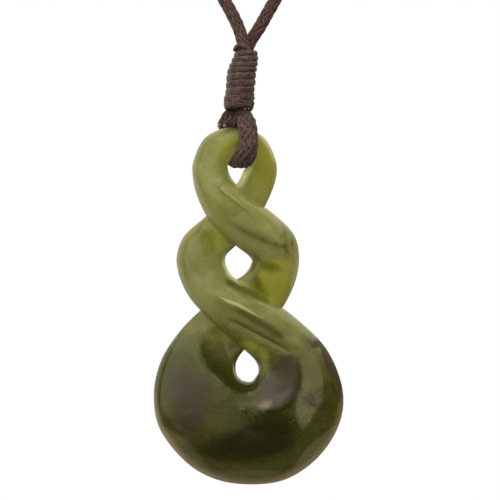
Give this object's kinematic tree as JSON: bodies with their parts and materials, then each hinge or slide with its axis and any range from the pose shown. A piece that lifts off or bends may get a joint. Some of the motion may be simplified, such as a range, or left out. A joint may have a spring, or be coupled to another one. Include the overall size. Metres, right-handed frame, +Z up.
{
  "type": "greenstone twist pendant necklace",
  "caption": "Polished green stone pendant carved as a double twist, hung from a loop of dark braided cord with a wound thread binding.",
  "frame": {"origin": "the inner face of the cord at the middle of the nape, where the necklace hangs on the neck", "axes": "+Z up as worn; -Y to the wearer's front, so the stone's front face looks along -Y; +X to the right of someone who looks at the front"},
  "size_m": [0.1302, 0.1229, 0.2559],
  "materials": {
    "greenstone": "polished",
    "braided_cord": "waxed",
    "binding_thread": "waxed"
  },
  "bodies": {
    "cord": {"cord": "braided_cord", "binding": "binding_thread", "cord_end": "braided_cord"},
    "pendant": {"twist": "greenstone"}
  },
  "joints": [
    {"name": "pendant_swing", "type": "hinge", "parent": "cord", "child": "pendant", "pos_m": [-0.00145, -0.116, -0.2097], "axis": [0, 1, 0], "range_deg": [-25, 25]}
  ]
}
